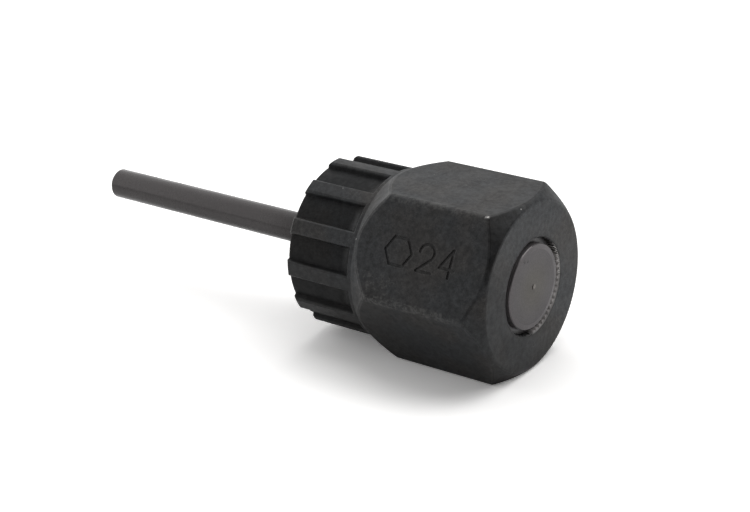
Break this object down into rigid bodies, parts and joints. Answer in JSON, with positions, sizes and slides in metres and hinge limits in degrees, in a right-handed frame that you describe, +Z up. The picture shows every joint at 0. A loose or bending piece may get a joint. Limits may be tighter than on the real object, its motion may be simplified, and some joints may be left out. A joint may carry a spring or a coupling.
{
  "type": "cassette lockring tool",
  "caption": "Steel socket tool with a hexagonal wrench head, a toothed spline around an open recess, and a long thin guide pin pressed into the head.",
  "frame": {"origin": "centre of the underside of the tool's box, as it lies on one flat of its hexagonal head", "axes": "+X along the tool's axis, out of the hexagonal end; -X along the guide pin; +Z up, square to the flat that it lies on"},
  "size_m": [0.0734, 0.0274, 0.024],
  "materials": {
    "body_steel": "matte",
    "pin_steel": "satin"
  },
  "bodies": {
    "root": {"tool_body": "body_steel", "guide_pin": "pin_steel"}
  },
  "joints": []
}
